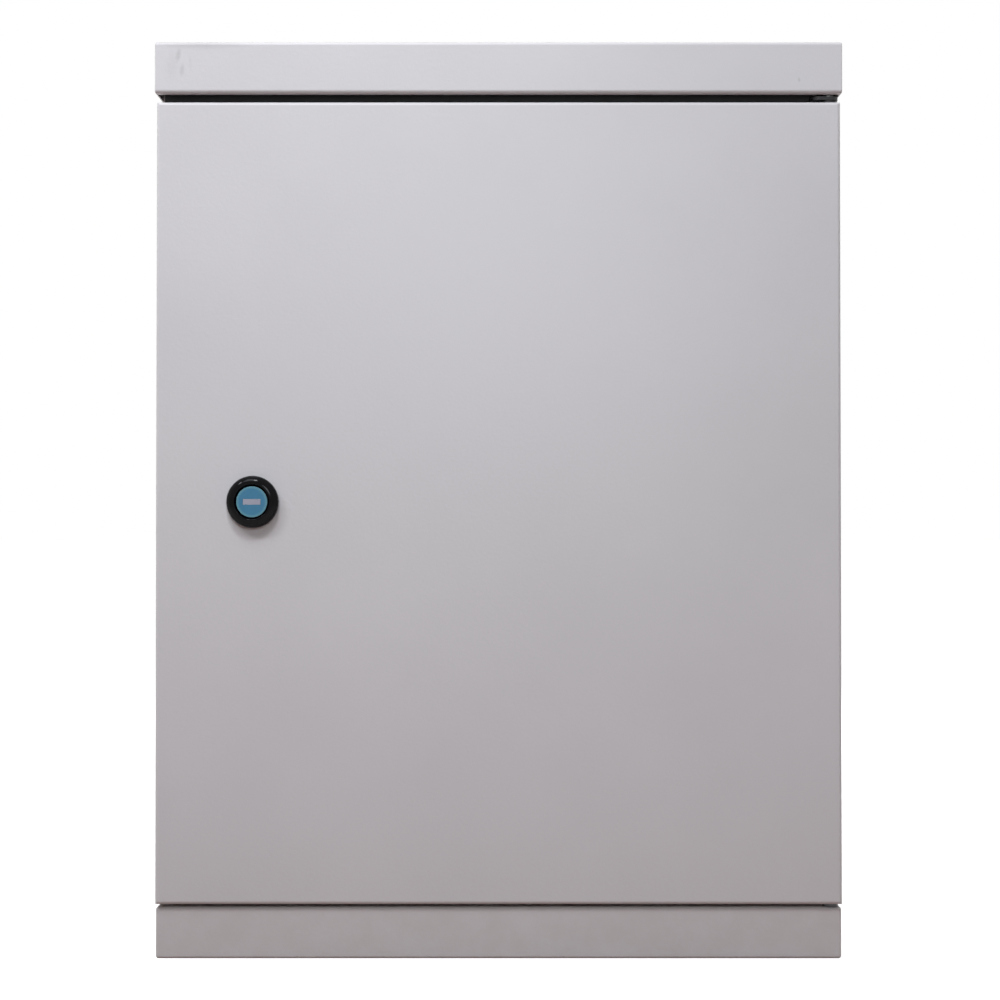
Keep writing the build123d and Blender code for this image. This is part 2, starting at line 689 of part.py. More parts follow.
# Door stiffeners: two upright hat sections welded inside the door, with a row of fixing holes
crown_half = stiffener_crown / 2
foot_half = crown_half + stiffener_foot
stiffener_x = -lock_x - lock_nut_across / 2 - stiffener_lock_clear - foot_half
crown_depth = door_inside + stiffener_depth
stiffener_path = [
    (stiffener_x - foot_half, door_inside),
    (stiffener_x - crown_half, door_inside),
    (stiffener_x - crown_half, crown_depth),
    (stiffener_x + crown_half, crown_depth),
    (stiffener_x + crown_half, door_inside),
    (stiffener_x + foot_half, door_inside),
]
stiffener_half = gasket_half_height - gasket_width - stiffener_clear
stiffener_end = Plane.XY.offset(door_middle - stiffener_half)
stiffener_radii = [bend, bend - sheet, bend - sheet, bend]
stiffener_holes = int(2 * stiffener_half / stiffener_hole_pitch)
crown_face = Plane(origin=(stiffener_x, crown_depth, door_middle), x_dir=(-1, 0, 0), z_dir=(0, 1, 0))
with BuildPart() as door_stiffener_right:
    section = folded(stiffener_end, stiffener_path, stiffener_radii, sheet, Side.LEFT)
    extrude(section, amount=2 * stiffener_half)
    with BuildSketch(crown_face):
        with GridLocations(stiffener_hole_pitch, stiffener_hole_pitch, 1, stiffener_holes):
            Circle(stiffener_hole_radius)
    extrude(amount=sheet, mode=Mode.SUBTRACT)
keep(door_stiffener_right, "door_stiffener_right")

with BuildPart() as door_stiffener_left:
    mirror(door_stiffener_right.part, about=Plane.YZ)
keep(door_stiffener_left, "door_stiffener_left")

# Earth stud on the door, near the lower corner of the hinge side
door_earth_place = [
    (
        gasket_width + door_earth_clear - gasket_side,
        gasket_width + door_earth_clear - gasket_half_height,
    )
]
door_earth_hole_radius = door_earth_radius + hole_play
door_nut_seat = door_back.offset(door_earth_washer_height)
with BuildPart() as door_earth_stud:
    extrude(discs(door_back, door_earth_place, door_earth_radius), amount=door_earth_length)
keep(door_earth_stud, "door_earth_stud")

with BuildPart() as door_earth_washer:
    washer = discs(door_back, door_earth_place, door_earth_washer_radius)
    extrude(washer, amount=door_earth_washer_height)
    bore = discs(door_back, door_earth_place, door_earth_hole_radius)
    extrude(bore, amount=door_earth_washer_height, mode=Mode.SUBTRACT)
keep(door_earth_washer, "door_earth_washer")

with BuildPart() as door_earth_nut:
    extrude(hexagons(door_nut_seat, door_earth_place, door_earth_across), amount=door_earth_nut_height)
    bore = discs(door_nut_seat, door_earth_place, door_earth_hole_radius)
    extrude(bore, amount=door_earth_nut_height, mode=Mode.SUBTRACT)
keep(door_earth_nut, "door_earth_nut")

# Lock seal: flat ring between the housing and the door
with BuildPart() as lock_seal:
    with BuildSketch(lock_plane):
        Circle(bezel_radius - lock_seal_inset)
        Circle(barrel_radius + hole_play, mode=Mode.SUBTRACT)
    extrude(amount=lock_seal_height)
keep(lock_seal, "lock_seal")

# Lock housing: domed bezel with a coned recess, and a barrel with two flats through the door.
# Its heights are measured out from the door's face along the lock's axis.
lock_axis = Axis((lock_x, door_front, lock_z), (0, -1, 0))
lock_section = Plane(origin=(lock_x, door_front, lock_z), x_dir=(1, 0, 0), z_dir=(0, 0, -1))
recess_floor = bezel_height - recess_depth
cam_front = door_front - frame_back - cam_play
barrel_end = cam_front + moving_gap
core_radius = barrel_radius - barrel_wall
bore_radius = core_radius + core_play
crest_radius = recess_radius + recess_slant
rim_top = (bezel_radius, lock_seal_height + bezel_rim)
crest = (crest_radius, bezel_height)
dome_rise = bezel_swell / 2**0.5
dome_middle = (
    (bezel_radius + crest_radius) / 2 + dome_rise,
    (rim_top[1] + bezel_height) / 2 + dome_rise,
)
flat_width = barrel_radius + overrun - barrel_flat
flat_middle = barrel_flat + flat_width / 2
with BuildPart() as lock_housing:
    with BuildSketch(lock_section) as housing_profile:
        with BuildLine():
            ThreePointArc(rim_top, dome_middle, crest)
            Polyline(
                crest,
                (recess_radius, recess_floor),
                (bore_radius, recess_floor),
                (bore_radius, barrel_end),
                (barrel_radius, barrel_end),
                (barrel_radius, lock_seal_height),
                (bezel_radius, lock_seal_height),
                rim_top,
            )
        make_face()
        fillet(housing_profile.vertices().sort_by(Axis.Y)[-1], crest_round)
    revolve(axis=lock_axis)
    with BuildSketch(lock_plane.offset(lock_seal_height)):
        with Locations((-flat_middle, 0), (flat_middle, 0)):
            Rectangle(flat_width, 2 * barrel_radius)
    extrude(amount=barrel_end - lock_seal_height, mode=Mode.SUBTRACT)
keep(lock_housing, "lock_housing")

# Lock nut on the barrel, against the door's inside
with BuildPart() as lock_nut:
    with BuildSketch(lock_plane.offset(-sheet)):
        RegularPolygon(lock_nut_across / 2, 6, major_radius=False)
        Circle(barrel_radius + hole_play, mode=Mode.SUBTRACT)
    extrude(amount=-lock_nut_height)
keep(lock_nut, "lock_nut")

# Lock core: flange under the face disc, shank through the barrel, square for the cam, tapped end
face_radius = recess_radius - moving_gap
face_bottom = bezel_height - face_sink - face_height
cam_back = cam_front - cam_sheet
core_flange_seat = recess_floor + moving_gap
cam_square = 2 * (cam_bolt_radius + hole_play + cam_square_wall)
with BuildPart() as lock_core:
    with BuildSketch(lock_plane.offset(core_flange_seat)):
        Circle(face_radius)
    extrude(amount=face_bottom - core_flange_seat)
    with BuildSketch(lock_plane.offset(cam_front)):
        Circle(core_radius)
    extrude(amount=face_bottom - cam_front)
    with BuildSketch(lock_plane.offset(cam_back)):
        Rectangle(cam_square, cam_square)
    extrude(amount=cam_sheet)
    with BuildSketch(lock_plane.offset(cam_back)):
        Circle(cam_bolt_radius + hole_play)
    extrude(amount=cam_tap_depth, mode=Mode.SUBTRACT)
    with BuildSketch(lock_plane.offset(face_bottom)):
        Rectangle(keyway_slot_length, keyway_slot_width)
    extrude(amount=-keyway_depth, mode=Mode.SUBTRACT)
keep(lock_core, "lock_core")

# Lock face: coloured disc with a window for the keyway insert
with BuildPart() as lock_face:
    with BuildSketch(lock_plane.offset(face_bottom)):
        Circle(face_radius)
        Rectangle(keyway_length + 2 * hole_play, keyway_width + 2 * hole_play, mode=Mode.SUBTRACT)
    extrude(amount=face_height)
keep(lock_face, "lock_face")

# Keyway insert: a dust shutter in the window, in front of the key slot
with BuildPart() as keyway_insert:
    with BuildSketch(lock_plane.offset(face_bottom)):
        Rectangle(keyway_length, keyway_width)
    extrude(amount=face_height)
keep(keyway_insert, "keyway_insert")

# Cam: hangs down at rest and swings a quarter turn to lie behind the frame's left flange
cam_reach = lip_side + lock_x + cam_lap
with BuildPart() as lock_cam:
    with BuildSketch(lock_plane.offset(cam_front)) as cam_outline:
        with Locations((0, -cam_reach / 2)):
            Rectangle(cam_width, cam_reach)
        fillet(cam_outline.vertices().group_by(Axis.Y)[0], cam_width / 3)
        Circle(cam_hub_radius)
        Rectangle(cam_square + 2 * core_play, cam_square + 2 * core_play, mode=Mode.SUBTRACT)
    extrude(amount=-cam_sheet)
keep(lock_cam, "lock_cam")

washer_plane = lock_plane.offset(cam_back)
with BuildPart() as cam_washer:
    with BuildSketch(washer_plane):
        Circle(cam_washer_radius)
        Circle(cam_bolt_radius + hole_play, mode=Mode.SUBTRACT)
    extrude(amount=-cam_washer_height)
keep(cam_washer, "cam_washer")

bolt_plane = washer_plane.offset(-cam_washer_height)
with BuildPart() as cam_bolt:
    extrude(hexagons(bolt_plane, [(0, 0)], cam_bolt_across), amount=-cam_bolt_head)
    extrude(discs(bolt_plane, [(0, 0)], cam_bolt_radius), amount=cam_washer_height + cam_bolt_reach)
keep(cam_bolt, "cam_bolt")
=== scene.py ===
"""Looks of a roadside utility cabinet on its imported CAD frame. Metres, +Z up, the door to -Y."""

import math
from collections import namedtuple

import bmesh
import bpy
from mathutils import Matrix, Vector


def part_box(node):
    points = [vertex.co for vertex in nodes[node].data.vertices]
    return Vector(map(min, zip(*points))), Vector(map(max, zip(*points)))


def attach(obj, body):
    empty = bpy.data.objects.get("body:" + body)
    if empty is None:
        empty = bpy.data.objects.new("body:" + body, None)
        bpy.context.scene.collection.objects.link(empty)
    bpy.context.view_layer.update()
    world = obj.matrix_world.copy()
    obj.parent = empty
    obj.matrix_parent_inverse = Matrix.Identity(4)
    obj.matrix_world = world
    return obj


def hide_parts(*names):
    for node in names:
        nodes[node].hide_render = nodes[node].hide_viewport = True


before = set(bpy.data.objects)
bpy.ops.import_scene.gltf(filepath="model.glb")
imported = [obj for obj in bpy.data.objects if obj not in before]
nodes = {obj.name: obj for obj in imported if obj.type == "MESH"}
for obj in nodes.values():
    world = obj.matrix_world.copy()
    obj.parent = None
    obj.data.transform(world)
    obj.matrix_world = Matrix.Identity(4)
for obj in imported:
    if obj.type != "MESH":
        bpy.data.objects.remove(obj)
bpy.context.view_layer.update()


# Plinth frame. A low closed channel of 2 mm steel sheet, folded and welded at its corners,
# powder-coated light grey like the rest of the cabinet and dusty from the ground it stands on; the warm,
# darker tone towards its foot is partly that dust and partly painted warm shade.
PAINT_GREY = (0.600, 0.596, 0.606, 1.0)
# Warm grey of the dust; low on the cabinet it also paints warm shade.
DUST_AND_WARM_SHADE = (0.400, 0.352, 0.312, 1.0)
DUST_AND_SHADE_HEIGHT = 0.22
DUST_MATTING = 0.4  # roughness that full dust adds
DUST_SLOPE = (0.75, 0.99)  # upward lean of a face where dust starts to lie, and where it all stays
DUST_SPECKLE = (0.3, 0.72)
DUST_COVER = (0.45, 1.0)  # thinnest and thickest patches
COAT_SHADE = (0.965, 1.02)
COAT_ROUGHNESS = (0.40, 0.50)
PEEL_DEPTH = 0.00035
PEEL_STRENGTH = 0.35
NOISE_RANGE = (0.3, 0.7)  # where most values of a noise lie


def put(tree, kind, feeds, **settings):
    """Add a shader node: its settings, then each input as a plain value or a wire from another node."""
    node = tree.nodes.new(kind)
    for name, value in settings.items():
        setattr(node, name, value)
    for socket, value in feeds.items():
        if isinstance(value, bpy.types.NodeSocket):
            tree.links.new(value, node.inputs[socket])
        else:
            node.inputs[socket].default_value = value
    return node


def wire(tree, source, node, socket):
    """Join an output to a node's input."""
    tree.links.new(source, node.inputs[socket])


def surface(tree):
    """The place on the piece, in the cabinet's own metres."""
    return put(tree, "ShaderNodeTexCoord", {}).outputs["Object"]


def noise(tree, place, scale, detail, roughness=0.5):
    """Cloudy noise over the surface; returns its outputs, Fac and Color."""
    feeds = {"Vector": place, "Scale": scale, "Detail": detail, "Roughness": roughness}
    return put(tree, "ShaderNodeTexNoise", feeds).outputs


def maths(tree, operation, *values):
    """One sum on numbers, each a plain value or a wire."""
    return put(tree, "ShaderNodeMath", dict(enumerate(values)), operation=operation).outputs[0]


def spread(tree, value, taken, given, ease="LINEAR"):
    """Stretch a value from one range to another, held at both ends."""
    feeds = {
        "Value": value,
        "From Min": taken[0],
        "From Max": taken[1],
        "To Min": given[0],
        "To Max": given[1],
    }
    return put(tree, "ShaderNodeMapRange", feeds, interpolation_type=ease).outputs["Result"]


def mixed(tree, share, first, second):
    """Colour between two colours; 6, 7 and 2 are the numbers of this node's colour sockets."""
    feeds = {"Factor": share, 6: first, 7: second}
    return put(tree, "ShaderNodeMix", feeds, data_type="RGBA").outputs[2]


def new_group(name, takes):
    """Start a finish that materials share; returns its tree and its named inputs."""
    tree = bpy.data.node_groups.new(name, "ShaderNodeTree")
    for socket, kind in takes.items():
        tree.interface.new_socket(socket, in_out="INPUT", socket_type="NodeSocket" + kind)
    for socket, kind in {"Colour": "Color", "Roughness": "Float", "Height": "Float"}.items():
        tree.interface.new_socket(socket, in_out="OUTPUT", socket_type="NodeSocket" + kind)
    return tree, tree.nodes.new("NodeGroupInput").outputs


coat, coat_in = new_group(
    "powder_coat",
    {"Colour": "Color", "Dust Colour": "Color", "Foot Dust And Shade": "Float", "Top Dust": "Float"},
)
place = surface(coat)
peel = noise(coat, place, scale=330.0, detail=2.0, roughness=0.4)["Fac"]
cloud = noise(coat, place, scale=6.0, detail=4.0, roughness=0.55)["Fac"]
speckle = noise(coat, place, scale=48.0, detail=5.0, roughness=0.65)["Fac"]
shade = spread(coat, cloud, NOISE_RANGE, COAT_SHADE)
mottled = put(coat, "ShaderNodeVectorMath", {0: coat_in["Colour"], "Scale": shade}, operation="SCALE")
level = put(coat, "ShaderNodeSeparateXYZ", {"Vector": place}).outputs["Z"]
# Warm and darker towards the foot: partly dust from the ground, partly painted warm shade low on the
# cabinet.
foot = spread(coat, level, (0.0, DUST_AND_SHADE_HEIGHT), (1.0, 0.0), "SMOOTHSTEP")
facing = put(coat, "ShaderNodeNewGeometry", {}).outputs["Normal"]
rise = put(coat, "ShaderNodeSeparateXYZ", {"Vector": facing}).outputs["Z"]
upward = spread(coat, rise, DUST_SLOPE, (0.0, 1.0))
from_ground_dust_and_shade = maths(coat, "MULTIPLY", foot, coat_in["Foot Dust And Shade"])
from_above = maths(coat, "MULTIPLY", upward, coat_in["Top Dust"])
settled = maths(coat, "MAXIMUM", from_ground_dust_and_shade, from_above)
patchy = spread(coat, speckle, DUST_SPECKLE, DUST_COVER)
dust = maths(coat, "MULTIPLY", settled, patchy)
smear = spread(coat, cloud, NOISE_RANGE, COAT_ROUGHNESS)
put(
    coat,
    "NodeGroupOutput",
    {
        "Colour": mixed(coat, dust, mottled.outputs["Vector"], coat_in["Dust Colour"]),
        "Roughness": maths(coat, "MULTIPLY_ADD", dust, DUST_MATTING, smear),
        "Height": peel,
    },
)


def new_material(name, metallic=0.0):
    """Start a material; returns it with its node tree and its shader."""
    material = bpy.data.materials.new(name)
    material.use_nodes = True
    shader = material.node_tree.nodes["Principled BSDF"]
    shader.inputs["Metallic"].default_value = metallic
    return material, material.node_tree, shader


def raise_grain(tree, shader, height, strength, depth):
    """Wire a height map to a shader as fine relief."""
    bump = put(tree, "ShaderNodeBump", {"Strength": strength, "Distance": depth, "Height": height})
    wire(tree, bump.outputs["Normal"], shader, "Normal")


def shared_finish(name, group, values, strength, depth, metallic=0.0):
    """Material with a shared finish at its own values, its grain raised to this depth."""
    material, tree, shader = new_material(name, metallic)
    finish = put(tree, "ShaderNodeGroup", values, node_tree=group).outputs
    wire(tree, finish["Colour"], shader, "Base Color")
    wire(tree, finish["Roughness"], shader, "Roughness")
    raise_grain(tree, shader, finish["Height"], strength, depth)
    return material


def coated_steel(name, colour, foot_dust_and_shade, top_dust, peel_depth=PEEL_DEPTH):
    """Powder-coated sheet, with its own share of dust from the ground, which is partly painted warm shade
    low down, and of dust from above.
    """
    values = {"Colour": colour, "Dust Colour": DUST_AND_WARM_SHADE, "Foot Dust And Shade": foot_dust_and_shade, "Top Dust": top_dust}
    return shared_finish(name, coat, values, PEEL_STRENGTH, peel_depth)


def dress(material, *names):
    """Give the CAD pieces of these names their finish."""
    for name in names:
        nodes[name].material_slots[0].material = material


dress(coated_steel("plinth_paint", PAINT_GREY, foot_dust_and_shade=0.30, top_dust=0.25), "plinth_frame")


# Body. Wrapped sides and back in one sheet, closed by a head tray and a floor tray, all 1.5 mm steel,
# folded to a flange and a lip round the door opening and coated after welding.
body_paint = coated_steel("body_paint", PAINT_GREY, foot_dust_and_shade=0.22, top_dust=0.10)
dress(body_paint, "body_wrap", "body_head", "body_floor")


# Bolts and nuts that hold the body on the plinth. Zinc-plated steel, bright with a faint blue and
# yellow cast where the plating was passivated, dull where fingers and spanners have been.
Screw = namedtuple("Screw", "radius pitch head")
M8 = Screw(radius=0.004, pitch=0.00125, head=0.0053)
THREAD_DEPTH_SHARE = 0.6  # of a pitch
POINT_SHARE = 0.8  # of a pitch: the chamfer at a thread's end
THREAD_PLAY = 0.00005
ROUND_STEPS = 12
TURNED_SHARE = 0.475  # of the width across flats: where the turned corners start
TURNED_SLOPE = math.radians(30.0)
NUT_SINK = 0.0004
LEVEL_FACE = 0.99
SHARP_ANGLE = math.radians(32.0)
SAME_POINT = 0.00001
SCRATCH_STRENGTH = 0.2
SCRATCH_DEPTH = 0.0001
UP = Vector((0.0, 0.0, 1.0))

metal, metal_in = new_group(
    "plated_metal", {"Pale": "Color", "Dark": "Color", "Bright": "Float", "Dull": "Float"}
)
place = surface(metal)
drift = noise(metal, place, scale=160.0, detail=4.0, roughness=0.6)["Fac"]
put(
    metal,
    "NodeGroupOutput",
    {
        "Colour": mixed(metal, drift, metal_in["Pale"], metal_in["Dark"]),
        "Roughness": spread(metal, drift, NOISE_RANGE, (metal_in["Bright"], metal_in["Dull"])),
        "Height": noise(metal, place, scale=1500.0, detail=2.0)["Fac"],
    },
)


def bare_metal(name, pale, dark, bright, dull):
    """Plated or bare metal whose colour and gloss drift across it, with fine handling scratches."""
    values = {"Pale": pale, "Dark": dark, "Bright": bright, "Dull": dull}
    return shared_finish(name, metal, values, SCRATCH_STRENGTH, SCRATCH_DEPTH, metallic=1.0)


def seats(name):
    """Boxes of the separate pieces in one CAD node, each as its lowest and highest corner."""
    bm = bmesh.new()
    bm.from_mesh(nodes[name].data)
    bmesh.ops.remove_doubles(bm, verts=bm.verts, dist=SAME_POINT)
    waiting = set(bm.verts)
    boxes = []
    while waiting:
        found = [waiting.pop()]
        for vert in found:
            for edge in vert.link_edges:
                other = edge.other_vert(vert)
                if other in waiting:
                    waiting.remove(other)
                    found.append(other)
        low = Vector([min(vert.co[i] for vert in found) for i in range(3)])
        high = Vector([max(vert.co[i] for vert in found) for i in range(3)])
        boxes.append((low, high))
    bm.free()
    return sorted(boxes, key=lambda box: tuple(box[0]))


def stand(box, way):
    """How a fastener stands along an axis: its foot, its length and its width across flats."""
    low, high = box
    size = high - low
    length = abs(size.dot(way))
    foot = (low + high) / 2 - length / 2 * way
    across = min(size[i] for i in range(3) if way[i] == 0.0)
    return foot, length, across


def hexagon(across, height, ends):
    """Hexagon along +Z with its corners turned off: at 1 for its top, at -1 for its foot."""
    bm = bmesh.new()
    corner = across / math.sqrt(3.0)
    upright = Matrix.Translation((0.0, 0.0, height / 2)) @ Matrix.Rotation(math.pi / 6, 4, "Z")
    bmesh.ops.create_cone(
        bm, cap_ends=True, segments=6, radius1=corner, radius2=corner, depth=height, matrix=upright
    )
    for end in ends:
        rim = Vector((TURNED_SHARE * across, 0.0, (1 + end) * height / 2))
        slope = Vector((math.sin(TURNED_SLOPE), 0.0, end * math.cos(TURNED_SLOPE)))
        for step in range(ROUND_STEPS):
            turn = Matrix.Rotation(step * math.tau / ROUND_STEPS, 3, "Z")
            bmesh.ops.bisect_plane(
                bm,
                geom=bm.verts[:] + bm.edges[:] + bm.faces[:],
                plane_co=turn @ rim,
                plane_no=turn @ slope,
                clear_outer=True,
            )
            bmesh.ops.holes_fill(bm, edges=bm.edges)
    return bm


def nut(across, height, bore):
    """Hexagon nut along +Z, turned off at both ends, its bore of this radius countersunk at its mouths."""
    bm = hexagon(across, height, [1, -1])
    bm.normal_update()
    ends = [face for face in bm.faces if abs(face.normal.z) > LEVEL_FACE]
    bmesh.ops.inset_region(bm, faces=ends, thickness=TURNED_SHARE * across - bore - NUT_SINK)
    bmesh.ops.inset_region(bm, faces=ends, thickness=NUT_SINK, depth=-NUT_SINK)
    bmesh.ops.delete(bm, geom=ends, context="FACES_ONLY")
    bmesh.ops.bridge_loops(bm, edges=[edge for edge in bm.edges if edge.is_boundary])
    return bm


def thread(screw, length):
    """Screw thread along +Z: one pitch of its profile wound up in a helix, with a chamfer at its end."""
    bm = bmesh.new()
    root = screw.radius - THREAD_DEPTH_SHARE * screw.pitch
    profile = [
        bm.verts.new((root, 0.0, -screw.pitch)),
        bm.verts.new((screw.radius, 0.0, -screw.pitch / 2)),
        bm.verts.new((root, 0.0, 0.0)),
    ]
    line = [bm.edges.new(profile[:2]), bm.edges.new(profile[1:])]
    turns = math.ceil(length / screw.pitch) + 1
    bmesh.ops.spin(
        bm,
        geom=profile + line,
        cent=(0.0, 0.0, 0.0),
        axis=UP,
        dvec=UP * screw.pitch / ROUND_STEPS,
        angle=turns * math.tau,
        steps=ROUND_STEPS * turns,
    )
    bmesh.ops.remove_doubles(bm, verts=bm.verts, dist=SAME_POINT)
    for level, side in ((0.0, -UP), (length, UP)):
        bmesh.ops.bisect_plane(
            bm,
            geom=bm.verts[:] + bm.edges[:] + bm.faces[:],
            plane_co=level * UP,
            plane_no=side,
            clear_outer=True,
        )
    bmesh.ops.holes_fill(bm, edges=bm.edges)
    for vert in bm.verts:
        room = screw.radius - max(0.0, vert.co.z - length + POINT_SHARE * screw.pitch)
        if vert.co.xy.length > room:
            vert.co.xy *= room / vert.co.xy.length
    return bm


def add_shape(piece, shape, foot, way):
    """Add a shape made along +Z to a piece, with its foot at a point and its length along an axis."""
    turn = UP.rotation_difference(way).to_matrix().to_4x4()
    mesh = bpy.data.meshes.new("shape")
    shape.to_mesh(mesh)
    shape.free()
    mesh.transform(Matrix.Translation(foot) @ turn)
    piece.from_mesh(mesh)
    bpy.data.meshes.remove(mesh)


def make_piece(name, bm, material, body, slot, *nodes_hidden):
    """Turn a finished shape into a piece that rides on a body and stands for CAD nodes."""
    bmesh.ops.recalc_face_normals(bm, faces=bm.faces)
    mesh = bpy.data.meshes.new(name)
    bm.to_mesh(mesh)
    bm.free()
    mesh.shade_smooth()
    mesh.set_sharp_from_angle(angle=SHARP_ANGLE)
    mesh.materials.append(material)
    piece = bpy.data.objects.new(name, mesh)
    bpy.context.scene.collection.objects.link(piece)
    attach(piece, body)
    if nodes_hidden:
        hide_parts(*nodes_hidden)


zinc = bare_metal("zinc_plate", (0.50, 0.51, 0.53, 1.0), (0.38, 0.37, 0.33, 1.0), bright=0.22, dull=0.42)


def make_bolts(name, screw, way, body):
    """Threaded hexagon bolts for the plain ones of a CAD node, their heads pointing this way."""
    bolts = bmesh.new()
    for box in seats(name):
        foot, length, across = stand(box, way)
        tail = length - screw.head
        bearing = foot + tail * way
        add_shape(bolts, hexagon(across, screw.head, [1]), bearing, way)
        add_shape(bolts, thread(screw, tail), bearing, -way)
    make_piece(name + "_cut", bolts, zinc, body, "zinc", name)


def make_nuts(name, screw, way, body):
    """Turned and bored nuts for the plain ones of a CAD node, which stand along this way."""
    nuts = bmesh.new()
    for box in seats(name):
        foot, length, across = stand(box, way)
        add_shape(nuts, nut(across, length, screw.radius + THREAD_PLAY), foot, way)
    make_piece(name + "_cut", nuts, zinc, body, "zinc", name)


make_bolts("plinth_bolts", M8, UP, "cabinet")
make_nuts("plinth_nuts", M8, UP, "cabinet")


# Gland plate. Galvanised sheet over the floor's cable opening, on a flat rubber gasket,
# held by zinc-plated hexagon screws round its edge.
M6 = Screw(radius=0.003, pitch=0.001, head=0.004)
SPANGLE_DARK = (0.36, 0.375, 0.39, 1.0)
SPANGLE_PALE = (0.50, 0.515, 0.53, 1.0)
SPANGLE_ROUGHNESS = (0.30, 0.52)
SPANGLE_BEND = (0.006, 0.006, 0.006)
SPANGLE_STRENGTH = 0.15
SPANGLE_DEPTH = 0.0002
SKIN_STRENGTH = 0.4
SKIN_RUB = 0.1


def vector_maths(tree, operation, *values):
    """One sum on vectors, each a plain value or a wire; returns its outputs, Vector and Value."""
    return put(tree, "ShaderNodeVectorMath", dict(enumerate(values)), operation=operation).outputs


def spangled_sheet(name):
    """Hot-dip galvanised sheet: zinc crystals some millimetres across, each with its tone and gloss."""
    material, tree, shader = new_material(name, metallic=1.0)
    place = surface(tree)
    bend = noise(tree, place, scale=120.0, detail=2.0)["Color"]
    bent = vector_maths(tree, "MULTIPLY_ADD", bend, SPANGLE_BEND, place)["Vector"]
    crystal = put(tree, "ShaderNodeTexVoronoi", {"Vector": bent, "Scale": 130.0}).outputs["Color"]
    tone = put(tree, "ShaderNodeSeparateColor", {"Color": crystal}).outputs
    wire(tree, mixed(tree, tone["Red"], SPANGLE_DARK, SPANGLE_PALE), shader, "Base Color")
    wire(tree, spread(tree, tone["Green"], (0.0, 1.0), SPANGLE_ROUGHNESS), shader, "Roughness")
    raise_grain(tree, shader, tone["Blue"], SPANGLE_STRENGTH, SPANGLE_DEPTH)
    return material


skin, skin_in = new_group(
    "moulded_skin", {"Pale": "Color", "Dark": "Color", "Dull": "Float", "Cell Scale": "Float"}
)
place = surface(skin)
bloom = noise(skin, place, scale=40.0, detail=5.0, roughness=0.6)["Fac"]
rubbed = maths(skin, "SUBTRACT", skin_in["Dull"], SKIN_RUB)
cells = put(skin, "ShaderNodeTexVoronoi", {"Vector": place, "Scale": skin_in["Cell Scale"]})
put(
    skin,
    "NodeGroupOutput",
    {
        "Colour": mixed(skin, bloom, skin_in["Dark"], skin_in["Pale"]),
        "Roughness": spread(skin, bloom, NOISE_RANGE, (rubbed, skin_in["Dull"])),
        "Height": cells.outputs["Distance"],
    },
)


def moulded(name, pale, dark, dull, cell_scale, cell_depth):
    """Rubber, foam or plastic: fine cells or mould grain, with a dusty bloom."""
    values = {"Pale": pale, "Dark": dark, "Dull": dull, "Cell Scale": cell_scale}
    return shared_finish(name, skin, values, SKIN_STRENGTH, cell_depth)


galvanised = spangled_sheet("galvanised_sheet")
rubber = moulded(
    "black_rubber",
    (0.020, 0.019, 0.018, 1.0),
    (0.007, 0.007, 0.0075, 1.0),
    dull=0.75,
    cell_scale=900.0,
    cell_depth=0.0002,
)
dress(galvanised, "gland_plate")
dress(rubber, "gland_gasket")
make_bolts("gland_screws", M6, UP, "cabinet")


# Head strip. A solid rubber section stuck along the frame above the door, so that rain driven in
# under the roof stays out; it is black as painted shade, so that the gap between roof and door shows as a
# black line.
dress(rubber, "head_strip")


# Mounting plate. Galvanised sheet folded back along both sides, hung on four collared studs that are
# welded to the back wall, each with a washer and a nut.
FRONT = Vector((0.0, -1.0, 0.0))
COLLAR_LENGTH = 0.025
COLLAR_BEVEL = 0.0008
COLLAR_SEGMENTS = 32


def round_radius(box):
    """Radius of a round piece, half its width from side to side."""
    low, high = box
    return (high.x - low.x) / 2


dress(galvanised, "mounting_plate")
dress(zinc, "mounting_washers")
studs = bmesh.new()
for box in seats("mounting_studs"):
    foot, length = stand(box, FRONT)[:2]
    radius = round_radius(box)
    collar = bmesh.new()
    bmesh.ops.create_cone(
        collar,
        cap_ends=True,
        segments=COLLAR_SEGMENTS,
        radius1=radius,
        radius2=radius,
        depth=COLLAR_LENGTH,
        matrix=Matrix.Translation(COLLAR_LENGTH / 2 * UP),
    )
    rim = [edge for edge in collar.edges if min(vert.co.z for vert in edge.verts) > COLLAR_LENGTH / 2]
    bmesh.ops.bevel(
        collar, geom=rim, offset=COLLAR_BEVEL, affect="EDGES", segments=2, profile=0.5, material=-1
    )
    add_shape(studs, collar, foot, FRONT)
    add_shape(studs, thread(M8, length - COLLAR_LENGTH), foot + COLLAR_LENGTH * FRONT, FRONT)
make_piece("mounting_studs_cut", studs, zinc, "cabinet", "zinc", "mounting_studs")
make_nuts("mounting_nuts", M8, FRONT, "cabinet")


# Earth stud in the floor. A brass stud with rolled thread, welded upright near the back left corner,
# with two plated washers and two nuts to clamp conductors between.
brass = bare_metal("earth_brass", (0.72, 0.52, 0.22, 1.0), (0.48, 0.33, 0.14, 1.0), bright=0.25, dull=0.45)


def make_earth_stud(name, screw, way, body):
    """Threaded brass stud for the plain one of a CAD node, as thick as that one."""
    stud = bmesh.new()
    for box in seats(name):
        foot, length = stand(box, way)[:2]
        rod = screw._replace(radius=round_radius(box))
        add_shape(stud, thread(rod, length), foot, way)
    make_piece(name + "_cut", stud, brass, body, "earth_brass", name)


dress(zinc, "body_earth_washers")
make_earth_stud("body_earth_stud", M8, UP, "cabinet")
make_nuts("body_earth_nuts", M8, UP, "cabinet")


# Roof rails. Two tapered channels of coated sheet on the body's head, with bolts from inside,
# rubber sealing washers and nuts welded to the rails.
rail_paint = coated_steel("rail_paint", PAINT_GREY, foot_dust_and_shade=0.0, top_dust=0.05)
dress(rail_paint, "roof_rail_left", "roof_rail_right")
dress(rubber, "roof_seals")
dress(zinc, "roof_nuts")
make_bolts("roof_bolts", M8, -UP, "cabinet")
